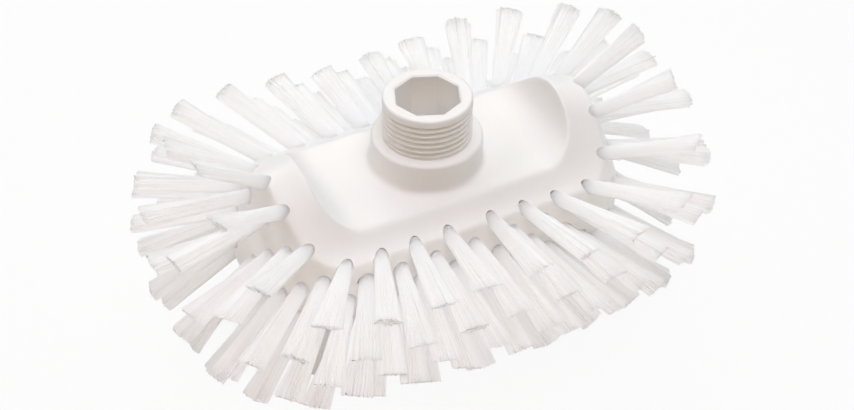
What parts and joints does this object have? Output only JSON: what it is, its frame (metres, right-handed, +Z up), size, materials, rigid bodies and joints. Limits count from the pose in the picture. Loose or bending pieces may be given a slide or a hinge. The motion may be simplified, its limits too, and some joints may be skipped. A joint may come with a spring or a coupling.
{
  "type": "bin cleaning brush head",
  "caption": "Round-ended cleaning brush head: saddle-topped block with a socketed spigot for a handle, bristle tufts all round its wall and underneath.",
  "frame": {"origin": "middle of the brush's bounding box in plan, on the surface that the tufts under it stand on", "axes": "+Z up along the spigot's axis, +X along the block, +Y across it"},
  "size_m": [0.219, 0.1534, 0.0948],
  "materials": {
    "moulding": "satin moulded white",
    "filament": "matt white filament"
  },
  "bodies": {
    "root": {"brush_block": "moulding", "wall_tufts_01": "filament", "wall_tufts_02": "filament", "wall_tufts_03": "filament", "wall_tufts_04": "filament", "wall_tufts_05": "filament", "wall_tufts_06": "filament", "wall_tufts_07": "filament", "wall_tufts_08": "filament", "wall_tufts_09": "filament", "wall_tufts_10": "filament", "wall_tufts_11": "filament", "wall_tufts_12": "filament", "wall_tufts_13": "filament", "wall_tufts_14": "filament", "wall_tufts_15": "filament", "wall_tufts_16": "filament", "wall_tufts_17": "filament", "wall_tufts_18": "filament", "wall_tufts_19": "filament", "wall_tufts_20": "filament", "wall_tufts_21": "filament", "wall_tufts_22": "filament", "wall_tufts_23": "filament", "wall_tufts_24": "filament", "wall_tufts_25": "filament", "wall_tufts_26": "filament", "under_tufts_1": "filament", "under_tufts_2": "filament", "under_tufts_3": "filament", "under_tufts_4": "filament", "under_tufts_5": "filament"}
  },
  "joints": []
}
